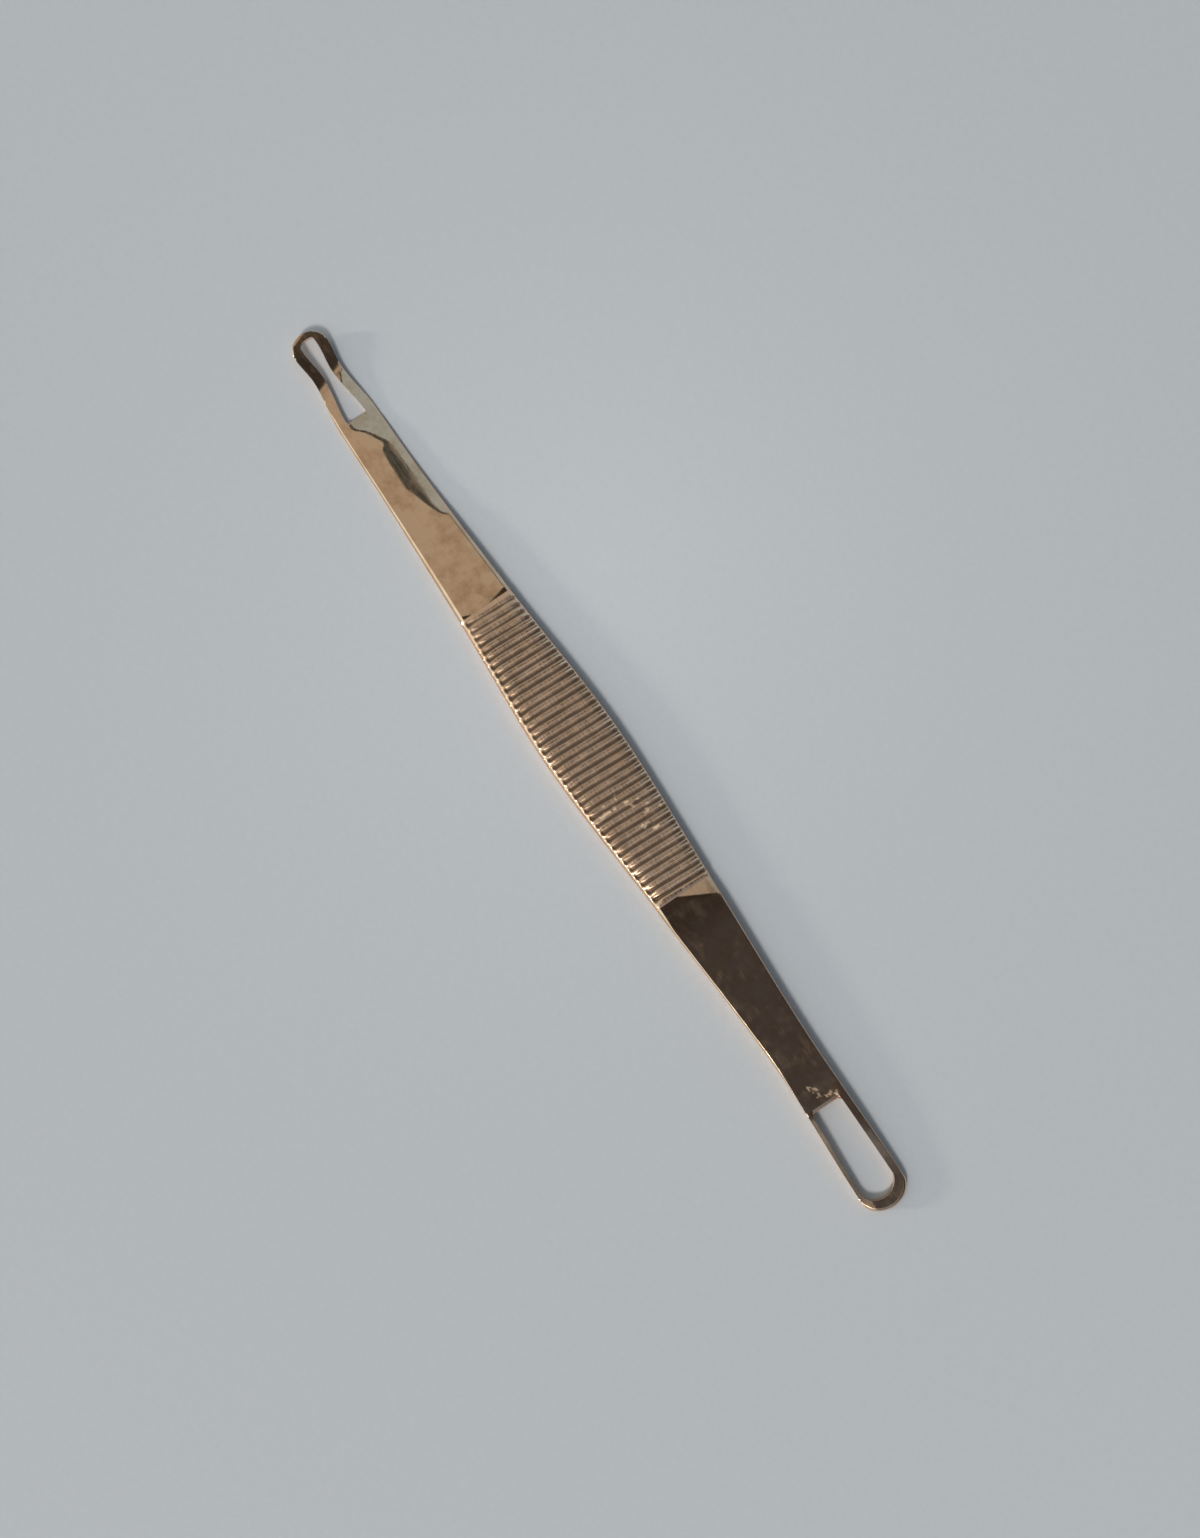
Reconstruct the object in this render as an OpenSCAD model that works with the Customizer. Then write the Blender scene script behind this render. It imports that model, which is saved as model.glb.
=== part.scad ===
// Double-ended blackhead extractor, stamped from one strip of plated steel.
// Lengths run along X from the tip of the narrow loop, the strip is wide along Y,
// and its underside lies on the plane Z = 0. All sizes are in millimetres.

/* [Lengths along the tool] */
// Narrow loop, from its tip to the root of its slot
narrow_loop_len = 9.3; // [8:0.1:13]
// Plain shank between the narrow loop and the ribbed grip
narrow_shank_len = 21.7; // [14:0.1:32]
// Ribbed grip
grip_len = 33.0; // [20:0.1:48]
// Plain shank between the ribbed grip and the wide loop
wide_shank_len = 24.4; // [14:0.1:36]
// Wide loop, from the root of its slot to its tip
wide_loop_len = 11.6; // [8:0.1:16]

/* [Widths of the strip] */
// Narrow loop at its head
narrow_head_w = 3.6; // [2.8:0.05:4.5]
// Narrow loop at its neck
narrow_neck_w = 3.05; // [2.6:0.05:4]
// Strip at the root of the narrow loop
narrow_root_w = 4.2; // [3.6:0.05:5.2]
// Narrow shank at its slimmest
narrow_shank_w = 4.4; // [3.6:0.05:5.2]
// Strip where the ribs start
grip_start_w = 5.75; // [4.5:0.05:7]
// Grip at its widest
grip_w = 7.6; // [6:0.05:10]
// Strip where the ribs end
grip_end_w = 6.1; // [4.5:0.05:7]
// Waist of the strip before the wide loop
waist_w = 4.3; // [3.6:0.05:5.4]
// Wide loop at its widest
wide_loop_w = 4.8; // [4:0.05:6]

/* [Thickness of the strip] */
// Narrow loop
narrow_loop_t = 0.6; // [0.45:0.05:1]
// Distance from the narrow tip over which the strip stays that thin
thin_len = 12; // [9:0.5:18]
// Strip where the ribs start
grip_start_t = 1.2; // [0.8:0.05:2]
// Grip from its middle to its end
grip_t = 1.4; // [1:0.05:2.4]
// Strip at the root of the wide loop
wide_root_t = 1.25; // [0.8:0.05:2]
// Tip of the wide loop
wide_tip_t = 0.85; // [0.6:0.05:1.5]
// Rounding of the strip's long edges
edge_r = 0.3; // [0.1:0.05:0.4]

/* [Narrow loop] */
// Distance from the tip over which the head is rounded
narrow_tip_reach = 1.5; // [1:0.1:2]
// Distance from the tip to the neck
narrow_neck_at = 4.3; // [3:0.1:6]
// Width of the rail on each side of the slot
narrow_rail_w = 1.0; // [0.5:0.05:1.1]
// Width of the bar that closes the slot at the tip
narrow_bar_w = 0.62; // [0.4:0.02:1]
// Length over which the slot is rounded at its tip end
narrow_slot_round = 0.55; // [0.3:0.05:1]
// Height that the tip is bent up off the bench
tip_lift = 0.6; // [0:0.1:2]
// Distance from the tip to the bend, on the strip's centre line
bend_at = 5.2; // [4:0.1:7]
// Length over which the bend is rounded
bend_round = 1.6; // [0.5:0.1:3]
// Turn of the bend's line from square across the strip, in degrees
bend_skew = 19; // [0:1:25]

/* [Wide loop] */
// Distance from the tip over which the end is rounded
wide_tip_reach = 2.0; // [1.5:0.1:3]
// Width of the rail on the left of the slot, which is +Y
wide_rail_left_w = 0.76; // [0.35:0.01:1]
// Width of the rail on the right of the slot, which is -Y
wide_rail_right_w = 0.38; // [0.35:0.01:1]
// Width of the bar that closes the slot at the tip
wide_bar_w = 1.25; // [0.6:0.05:2]
// Length over which the slot is rounded at its tip end
wide_slot_round = 1.6; // [0.5:0.1:2]
// Distance from the waist of the strip to the root of the slot
waist_before_slot = 4.0; // [2:0.1:8]

/* [Slots] */
// Radius in the corners at the root of each slot
slot_corner_r = 0.25; // [0.1:0.05:0.4]
// Rounding of the edges around each slot
slot_edge_r = 0.1; // [0.05:0.01:0.15]

/* [Ribs] */
// Distance from one groove to the next
rib_pitch = 0.856; // [0.6:0.002:1.5]
// Width of a groove at the surface
groove_w = 0.36; // [0.2:0.02:0.5]
// Depth of a groove
groove_depth = 0.14; // [0.06:0.01:0.25]
// Plain margin between the grip's end and its first groove
rib_margin = 0.4; // [0.3:0.05:1.5]
// Turn of the grooves from square across the strip, in degrees, seen from above
rib_skew = -3; // [-5:0.5:5]
// Land left uncut between the grooves' right ends and the strip's edge
groove_land = 0.22; // [0.1:0.02:0.6]
// Drop from the ribbed face to the shanks, which are ground hollow beside it
shank_step = 0.08; // [0:0.01:0.15]
// Length over which the shanks come up out of that hollow
hollow_len = 6; // [2:0.5:12]

/* [Bow] */
// Sideways bow of the narrow shank, to the right
narrow_bow = 0.1; // [0:0.02:0.6]
// Sideways bow of the wide shank, to the left
wide_bow = 0.28; // [0:0.02:0.6]
// Sideways place of the wide loop's tip, to the left
wide_tip_shift = 0.06; // [0:0.02:0.4]

/* [Hidden] */

polished_plating = "#B08A68";
ribbed_plating = "#8C7059";

// Places along the tool, from the narrow tip
narrow_root_at = narrow_loop_len;
grip_start_at = narrow_root_at + narrow_shank_len;
grip_end_at = grip_start_at + grip_len;
wide_root_at = grip_end_at + wide_shank_len;
tool_len = wide_root_at + wide_loop_len;
grip_middle_at = grip_start_at + grip_len / 2;

// The strip is swept as rings about this far apart
ring_gap = 1;
// Steps round a rounded edge, round the closed end of a loop and in a slot's corner
edge_steps = 3;
tip_steps = 16;
corner_steps = 3;
// Most of the thickness, or of a rail's width, that the rounding of one edge may take
edge_share_of_t = 0.42;
outer_share_of_w = 0.55;
slot_share_of_w = 0.35;
// The sweep reaches this far below the bench plane, and is then ground flat on it
grind = 0.03;
// Overlap that keeps a cutting shape clear of the face it cuts
cut_over = 0.2;

// Each list holds [distance from the narrow tip, value]
half_widths = [
    [narrow_tip_reach, narrow_head_w / 2],
    [narrow_neck_at, narrow_neck_w / 2],
    [narrow_root_at, narrow_root_w / 2],
    [narrow_root_at + narrow_shank_len / 4, narrow_shank_w / 2],
    [grip_start_at, grip_start_w / 2],
    [grip_middle_at, grip_w / 2],
    [grip_end_at, grip_end_w / 2],
    [wide_root_at - waist_before_slot, waist_w / 2],
    [tool_len - wide_tip_reach, wide_loop_w / 2]
];
thicknesses = [
    [0, narrow_loop_t],
    [thin_len, narrow_loop_t],
    [grip_start_at, grip_start_t],
    [grip_middle_at, grip_t],
    [grip_end_at, grip_t],
    [wide_root_at, wide_root_t],
    [tool_len, wide_tip_t]
];
middles = [
    [0, 0],
    [narrow_root_at + narrow_shank_len / 4, -narrow_bow],
    [grip_start_at + grip_len / 4, 0],
    [wide_root_at - wide_shank_len / 5, wide_bow],
    [tool_len, wide_tip_shift]
];

// Slope of the straight line from entry i to entry i + 1 of a list
function rise(list, i) = (list[i + 1][1] - list[i][1]) / (list[i + 1][0] - list[i][0]);

// Slope of the smooth curve at entry i: level at the ends and wherever the curve turns back
function slope(list, i) =
    i == 0 || i == len(list) - 1 || rise(list, i - 1) * rise(list, i) <= 0 ? 0
    : 2 / (1 / rise(list, i - 1) + 1 / rise(list, i));

// Number of the entry that a distance comes after
function entry_before(list, at, i = 0) =
    i >= len(list) - 2 || at <= list[i + 1][0] ? i : entry_before(list, at, i + 1);

// Smooth curve through a list's entries, held level outside them
function curve(list, at) =
    let (
        x = max(list[0][0], min(list[len(list) - 1][0], at)),
        i = entry_before(list, x),
        span = list[i + 1][0] - list[i][0],
        t = (x - list[i][0]) / span,
        t2 = t * t,
        t3 = t2 * t
    )
    (2 * t3 - 3 * t2 + 1) * list[i][1] + (3 * t2 - 2 * t3) * list[i + 1][1]
    + (t3 - 2 * t2 + t) * span * slope(list, i) + (t3 - t2) * span * slope(list, i + 1);

function half_width(at) = curve(half_widths, at);
function thickness(at) = curve(thicknesses, at);
function middle(at) = curve(middles, at);

// Height of the bent-up end at a [distance, sideways] point. The head is a straight ramp, and a
// short curve leads from it into the level strip.
function lift(point) =
    let (
        before = bend_at - point[0] - point[1] * tan(bend_skew),
        eased = max(0, min(bend_round, before + bend_round / 2))
    )
    tip_lift / bend_at * (before > bend_round / 2 ? before : eased * eased / (2 * bend_round));

// Depth of the hollow beside the ribs at a distance d from them
function hollow(d) = d < hollow_len ? shank_step * pow(1 - d / hollow_len, 2) : 0;

// Rounding of the strip's outer edges
function outer_r(at) = min(edge_r, edge_share_of_t * thickness(at));

// Outline of a section of width w and height t, whose two sides have their own rounding
function rounded_section(w, t, r_start, r_end) = [
    for (corner = [
            [r_start, r_start, r_start, 180],
            [w - r_end, r_end, r_end, 270],
            [w - r_end, t - r_end, r_end, 0],
            [r_start, t - r_start, r_start, 90]
        ], i = [0 : edge_steps])
        let (turn = corner[3] + 90 * i / edge_steps)
        [corner[0] + corner[2] * cos(turn), corner[1] + corner[2] * sin(turn)]
];

// Ring of points across the strip, from one [distance, sideways] point to another
function ring(start, end, r_start, r_end, drop = 0) =
    let (
        w = norm(end - start),
        along = (end - start) / w,
        t = thickness((start[0] + end[0]) / 2) - drop + grind,
        r1 = min(r_start, outer_share_of_w * w),
        r2 = min(r_end, slot_share_of_w * w)
    )
    [
        for (p = rounded_section(w, t, r1, r2))
            let (q = start + along * p[0])
            [q[0] - tool_len / 2, q[1], lift(q) + p[1] - grind]
    ];

// Ring right across the strip
function full_ring(at, drop) =
    let (r = outer_r(at), side = [0, half_width(at)], centre = [at, middle(at)])
    ring(centre + side, centre - side, r, r, drop);

// Ring across one rail of a loop, from the strip's edge inwards. The slot's corner and tip
// need the two ends of a ring at different distances.
function rail_ring(outer_at, inner_at, side, w) =
    ring(
        [outer_at, middle(outer_at) + side * half_width(outer_at)],
        [inner_at, middle(inner_at) + side * (half_width(inner_at) - w)],
        outer_r(outer_at), slot_edge_r
    );

// Evenly spaced distances from one place to another, about ring_gap apart
function places(from, to) =
    let (n = ceil(abs(to - from) / ring_gap))
    [for (i = [0 : n]) from + (to - from) * i / n];

// Closed solid through a list of rings
module sweep(rings) {
    n = len(rings[0]);
    last = (len(rings) - 1) * n;
    sides = [
        for (i = [0 : n : last - n], j = [0 : n - 1])
            let (k = (j + 1) % n)
            each [[i + j, i + k, i + n + k], [i + j, i + n + k, i + n + j]]
    ];
    polyhedron(
        points = [for (r = rings) each r],
        faces = concat([[for (j = [n - 1 : -1 : 0]) j]], sides, [[for (j = [0 : n - 1]) last + j]]),
        convexity = 6
    );
}

// Grinds the underside flat on the bench plane
module ground_flat() {
    difference() {
        children();
        translate([-tool_len, -grip_w, -2 * grind]) cube([2 * tool_len, 2 * grip_w, 2 * grind]);
    }
}

// Solid length of the strip, lowered beside the ribs where ribs_at is given
module strip(from, to, ribs_at) {
    sweep([
        for (at = places(from, to))
            full_ring(at, is_undef(ribs_at) ? 0 : hollow(abs(at - ribs_at)))
    ]);
}

// Rings along one rail, from the root of the slot to where the tip's rounding starts.
// way is the direction of the tip along the tool, 1 or -1.
function rail(root, tip, side, w, reach, inner_reach, way) =
    let (
        outer_end = tip - way * reach,
        inner_end = tip - way * inner_reach,
        first = root + way * slot_corner_r,
        n = ceil(abs(outer_end - first) / ring_gap)
    )
    concat(
        [
            for (i = [0 : corner_steps - 1])
                let (
                    turn = 90 * i / corner_steps,
                    at = root + way * slot_corner_r * (1 - cos(turn)),
                    extra = slot_corner_r * (1 - sin(turn))
                )
                rail_ring(at, at, side, w + extra)
        ],
        [
            for (i = [0 : n])
                rail_ring(
                    first + (outer_end - first) * i / n, first + (inner_end - first) * i / n,
                    side, w
                )
        ]
    );

// Rings round the closed end of a loop, from its left rail to its right rail
function tip_rings(tip, left_w, right_w, reach, bar, inner_reach, way) =
    let (
        outer_at = tip - way * reach,
        inner_at = tip - way * inner_reach,
        outer_side = half_width(outer_at),
        inner_side = half_width(inner_at) - (left_w + right_w) / 2,
        shift = (right_w - left_w) / 2
    )
    [
        for (i = [1 : tip_steps - 1])
            let (
                turn = 90 - 180 * i / tip_steps,
                outer = [
                    outer_at + way * reach * cos(turn),
                    middle(outer_at) + outer_side * sin(turn)
                ],
                inner = [
                    inner_at + way * (inner_reach - bar) * cos(turn),
                    middle(inner_at) + shift + inner_side * sin(turn)
                ]
            )
            ring(outer, inner, outer_r(outer[0]), slot_edge_r)
    ];

// The list backwards
function reversed(list) = [for (i = [len(list) - 1 : -1 : 0]) list[i]];

module narrow_loop() {
    reach = narrow_tip_reach;
    inner_reach = narrow_bar_w + narrow_slot_round;
    left = rail(narrow_root_at, 0, 1, narrow_rail_w, reach, inner_reach, -1);
    right = rail(narrow_root_at, 0, -1, narrow_rail_w, reach, inner_reach, -1);
    round_end = tip_rings(0, narrow_rail_w, narrow_rail_w, reach, narrow_bar_w, inner_reach, -1);
    color(polished_plating)
        ground_flat() sweep(reversed(concat(left, round_end, reversed(right))));
}

module narrow_shank() {
    color(polished_plating)
        ground_flat() strip(narrow_root_at, grip_start_at, grip_start_at);
}

// One groove across a face of the grip, cut downwards from Z = 0, at a distance along the tool.
// It runs out over the left edge and stops short of the right one.
module groove(at) {
    flare = 1 + cut_over / groove_depth;
    left_end = half_width(at) + cut_over;
    right_end = half_width(at) - groove_land;
    rotate([0, 0, rib_skew])
        translate([0, left_end, 0])
            rotate([90, 0, 0])
                linear_extrude(height = left_end + right_end)
                    polygon([
                        [-groove_w / 2 * flare, cut_over],
                        [groove_w / 2 * flare, cut_over],
                        [0, -groove_depth]
                    ]);
}

module ribbed_grip() {
    count = floor((grip_len - 2 * rib_margin) / rib_pitch) + 1;
    first = grip_middle_at - (count - 1) * rib_pitch / 2;
    color(ribbed_plating) difference() {
        ground_flat() strip(grip_start_at, grip_end_at);
        for (i = [0 : count - 1]) {
            at = first + i * rib_pitch;
            translate([at - tool_len / 2, middle(at), thickness(at)]) groove(at);
            translate([at - tool_len / 2, middle(at), 0]) mirror([0, 0, 1]) groove(at);
        }
    }
}

module wide_shank() {
    color(polished_plating)
        ground_flat() strip(grip_end_at, wide_root_at, grip_end_at);
}

module wide_loop() {
    left_w = wide_rail_left_w;
    right_w = wide_rail_right_w;
    reach = wide_tip_reach;
    inner_reach = wide_bar_w + wide_slot_round;
    left = rail(wide_root_at, tool_len, 1, left_w, reach, inner_reach, 1);
    right = rail(wide_root_at, tool_len, -1, right_w, reach, inner_reach, 1);
    round_end = tip_rings(tool_len, left_w, right_w, reach, wide_bar_w, inner_reach, 1);
    color(polished_plating) ground_flat() sweep(concat(left, round_end, reversed(right)));
}

narrow_loop();
narrow_shank();
ribbed_grip();
wide_shank();
wide_loop();
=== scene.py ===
"""Looks of a double-ended blackhead extractor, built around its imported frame.

The tool is one stamped strip of plated steel: a narrow loop, a plain shank, a ribbed grip, a second
shank and a wide loop. X runs from the narrow loop to the wide loop, Y to the left and Z up, and every
length is in metres. A place along the tool is its distance from the narrow tip.
"""

from math import atan2, ceil, cos, pi, radians, sin, sqrt, tan

import bmesh
import bpy
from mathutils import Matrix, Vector, noise


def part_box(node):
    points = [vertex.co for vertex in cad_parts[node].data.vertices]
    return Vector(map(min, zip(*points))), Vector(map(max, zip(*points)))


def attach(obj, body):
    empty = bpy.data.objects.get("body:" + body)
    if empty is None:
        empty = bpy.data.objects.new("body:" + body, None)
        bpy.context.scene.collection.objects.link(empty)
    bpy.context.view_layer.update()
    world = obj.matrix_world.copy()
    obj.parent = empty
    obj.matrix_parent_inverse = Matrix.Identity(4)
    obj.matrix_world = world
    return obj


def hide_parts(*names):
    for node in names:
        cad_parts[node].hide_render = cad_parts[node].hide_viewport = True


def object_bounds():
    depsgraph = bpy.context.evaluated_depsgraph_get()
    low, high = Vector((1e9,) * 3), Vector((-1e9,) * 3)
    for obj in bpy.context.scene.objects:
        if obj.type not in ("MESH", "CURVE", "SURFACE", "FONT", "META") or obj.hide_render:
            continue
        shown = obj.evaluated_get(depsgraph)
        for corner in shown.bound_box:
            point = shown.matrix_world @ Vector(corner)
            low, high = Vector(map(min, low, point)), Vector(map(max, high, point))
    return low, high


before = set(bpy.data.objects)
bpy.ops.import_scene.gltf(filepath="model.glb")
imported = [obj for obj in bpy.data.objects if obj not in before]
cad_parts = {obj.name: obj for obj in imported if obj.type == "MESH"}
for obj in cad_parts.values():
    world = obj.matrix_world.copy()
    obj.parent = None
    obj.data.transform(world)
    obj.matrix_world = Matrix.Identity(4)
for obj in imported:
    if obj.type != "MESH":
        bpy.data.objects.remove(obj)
CAD_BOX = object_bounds()

bl_info = {
    "name": "Blackhead extractor",
    "version": (1, 0, 0),
    "blender": (4, 5, 0),
    "location": "3D Viewport > Sidebar > Extractor",
    "description": "Builds a stamped, plated blackhead extractor around its frame",
    "category": "Object",
}

MM = 0.001

# Size of the photograph, and where it shows the two tips
PHOTO_W = 1200
PHOTO_H = 1538
NARROW_TIP_PX = (301.6, 335.4)
WIDE_TIP_PX = (893.8, 1206.3)


def linear_rgb(hex_colour):
    """The linear red, green and blue of an sRGB hex colour."""
    shares = [int(hex_colour[i:i + 2], 16) / 255 for i in (1, 3, 5)]
    return tuple(s / 12.92 if s <= 0.04045 else ((s + 0.055) / 1.055) ** 2.4 for s in shares)


def length(name, description, mm):
    """A length that a user may change, given in millimetres."""
    return bpy.props.FloatProperty(
        name=name, description=description, default=mm * MM, min=0.0, precision=5, unit="LENGTH"
    )


def colour(name, description, hex_colour):
    """A colour that a user may change."""
    return bpy.props.FloatVectorProperty(
        name=name, description=description, default=linear_rgb(hex_colour), min=0.0, max=1.0,
        size=3, subtype="COLOR",
    )


def share(name, description, value, most=1.0):
    """A plain number that a user may change."""
    return bpy.props.FloatProperty(
        name=name, description=description, default=value, min=0.0, max=most, precision=3
    )


class StripSizes(bpy.types.PropertyGroup):
    """Sizes of the strip that the frame's boxes don't give."""

    narrow_head_w: length("Narrow head", "Width of the narrow loop at its head", 3.6)
    narrow_neck_w: length("Narrow neck", "Width of the narrow loop at its neck", 3.05)
    narrow_neck_at: length("Neck place", "Distance from the narrow tip to the neck", 4.3)
    narrow_shank_w: length("Narrow shank", "Width of the narrow shank at its slimmest", 4.4)
    waist_w: length("Waist", "Width of the wide shank at its waist", 4.3)
    waist_before_slot: length("Waist place", "Distance from the waist to the wide slot", 4.0)
    narrow_loop_t: length("Narrow thickness", "Thickness of the narrow loop", 0.6)
    thin_len: length("Thin length", "Distance from the narrow tip that stays that thin", 12.0)
    grip_start_t: length("Grip start", "Thickness of the strip where the ribs start", 1.2)
    wide_tip_t: length("Wide tip", "Thickness of the wide loop at its tip", 0.85)
    edge_r: length("Edge rounding", "Rounding of the strip's long edges", 0.3)
    tip_lift: length("Tip lift", "Height that the narrow tip is bent up", 0.6)
    bend_at: length("Bend place", "Distance from the narrow tip to the bend", 5.2)
    bend_round: length("Bend", "Length over which the bend is rounded", 1.6)
    bend_skew: bpy.props.FloatProperty(
        name="Bend skew", description="Turn of the bend's line from square across the strip",
        default=radians(19.0), subtype="ANGLE",
    )
    narrow_bow: length("Narrow bow", "Sideways bow of the narrow shank, to the right", 0.1)
    wide_bow: length("Wide bow", "Sideways bow of the wide shank, to the left", 0.28)
    wide_tip_shift: length("Tip shift", "Sideways place of the wide tip, to the left", 0.06)
    shank_step: length("Shank step", "Drop from the ribbed face to the shanks", 0.08)
    hollow_len: length("Hollow", "Length over which the shanks come up out of it", 6.0)


class LoopSizes(bpy.types.PropertyGroup):
    """Sizes of the two loops and their slots."""

    narrow_tip_reach: length("Narrow tip", "Length over which the head is rounded", 1.5)
    narrow_rail_w: length("Narrow rail", "Width of the rails beside the narrow slot", 1.0)
    narrow_bar_w: length("Narrow bar", "Width of the bar at the narrow tip", 0.62)
    narrow_slot_round: length("Narrow slot end", "Length of the slot's rounded end", 0.55)
    slot_edge_r: length("Slot edge", "Rounding of the edges round each slot", 0.0)
    wide_tip_reach: length("Wide tip", "Length over which the wide end is rounded", 2.0)
    wide_left_w: length("Left rail", "Width of the wide loop's left rail", 0.76)
    wide_right_w: length("Right rail", "Width of the wide loop's right rail", 0.38)
    wide_bar_w: length("Wide bar", "Width of the bar at the wide tip", 1.25)
    wide_slot_round: length("Wide slot end", "Length of the slot's rounded end", 1.6)
    slot_corner_r: length("Slot corner", "Radius in the corners at each slot's root", 0.25)
    wide_root_edge: length("Wide root edge", "Rollover of the edge at the wide slot's root", 0.4)
    narrow_root_edge: length("Narrow root edge", "Same at the narrow slot's root", 0.12)


class RibSizes(bpy.types.PropertyGroup):
    """Sizes of the ribs stamped across the grip."""

    pitch: length("Pitch", "Distance from one groove to the next", 0.856)
    groove_w: length("Groove width", "Width of a groove", 0.56)
    groove_depth: length("Groove depth", "Depth of a groove", 0.11)
    margin: length("Margin", "Plain margin at each end of the grip", 0.4)
    land: length("Land", "Uncut land at the grooves' right ends", 0.3)
    flare_len: length("Flare", "Length over which a groove widens to its right end", 1.1)
    crown_len: length("Crown", "Width over which the ribbed face rolls to its edges", 1.0)
    crown_growth: length("Crown growth", "Extra width of the roll on the right at the end", 0.9)
    line_w: length("Fine groove width", "Width of the fine groove along each rib", 0.4)
    line_depth: length("Fine groove", "Depth of the fine groove along each rib", 0.045)
    skew: bpy.props.FloatProperty(
        name="Skew", description="Turn of the grooves from square across the strip",
        default=radians(3.0), subtype="ANGLE",
    )
    crown_tilt: bpy.props.FloatProperty(
        name="Crown tilt", description="Tilt of the ribbed face where it meets its edges",
        default=radians(9.0), subtype="ANGLE",
    )


class PlatingLook(bpy.types.PropertyGroup):
    """Colours and gloss of the plating."""

    plating: colour("Plating", "Clean gold-tone plating", "#EDC8A6")
    tarnish: colour("Tarnish", "Plating where it has dulled", "#D8AD88")
    rib_plating: colour("Rib plating", "Plating on the stamped ribs", "#F6CDAC")
    rib_tarnish: colour("Rib tarnish", "Dulled plating on the stamped ribs", "#DDB491")
    # Colour of the shade painted into the grooves, which also darkens the ribs' tops a little
    soil: colour("Soil", "Dried soil in the grooves", "#4E3D2F")
    # Also the colour of the painted sheen on the wide loop's thin rail, which stands in for its
    # reflection
    scuff: colour("Scuff", "Plating where it is scuffed", "#D8BC9C")
    polished_roughness: share("Polished roughness", "Roughness of the polished faces", 0.08)
    ribbed_roughness: share("Ribbed roughness", "Roughness of the stamped ribs", 0.2)


class StageLook(bpy.types.PropertyGroup):
    """The camera, the floor and the light."""

    camera_height: length("Camera height", "Height of the camera over the floor", 170.0)
    floor: colour("Floor", "Pale matt floor", "#B6B7BA")
    lamp_share: share("Lamps", "Level of the lamps' light", 1.0, 4.0)
    sky_share: share("Surroundings", "Level of the light from all round", 1.0, 4.0)


def smooth_curve(stations):
    """The smooth curve through (distance, value) stations, which never overshoots them."""
    rises = [(b[1] - a[1]) / (b[0] - a[0]) for a, b in zip(stations, stations[1:])]
    slopes = [0.0]
    for before, after in zip(rises, rises[1:]):
        slopes.append(0.0 if before * after <= 0 else 2 / (1 / before + 1 / after))
    slopes.append(0.0)

    def value(at):
        at = min(max(at, stations[0][0]), stations[-1][0])
        i = max(k for k in range(len(rises)) if k == 0 or stations[k][0] < at)
        span = stations[i + 1][0] - stations[i][0]
        t = (at - stations[i][0]) / span
        return (
            (2 * t ** 3 - 3 * t ** 2 + 1) * stations[i][1]
            + (3 * t ** 2 - 2 * t ** 3) * stations[i + 1][1]
            + (t ** 3 - 2 * t ** 2 + t) * span * slopes[i]
            + (t ** 3 - t ** 2) * span * slopes[i + 1]
        )

    return value


def curve_mm(stations):
    """The same, for distances and values in millimetres."""
    return smooth_curve([(at * MM, value * MM) for at, value in stations])


def fade(value, low, high):
    """0 below low, 1 above high and a smooth rise between them."""
    t = min(max((value - low) / (high - low), 0.0), 1.0)
    return t * t * (3 - 2 * t)


def slid(y, knots):
    """Drop at y of a face that is level before its first (place, slope) knot.

    Its slope runs straight from knot to knot and stays as it is after the last one.
    """
    drop = 0.0
    for (y0, slope0), (y1, slope1) in zip(knots, knots[1:] + [(1.0, knots[-1][1])]):
        reach = min(y, y1) - y0
        if reach <= 0:
            break
        slope_here = slope0 + (slope1 - slope0) * reach / (y1 - y0)
        drop += reach * (slope0 + slope_here) / 2
    return drop


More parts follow.
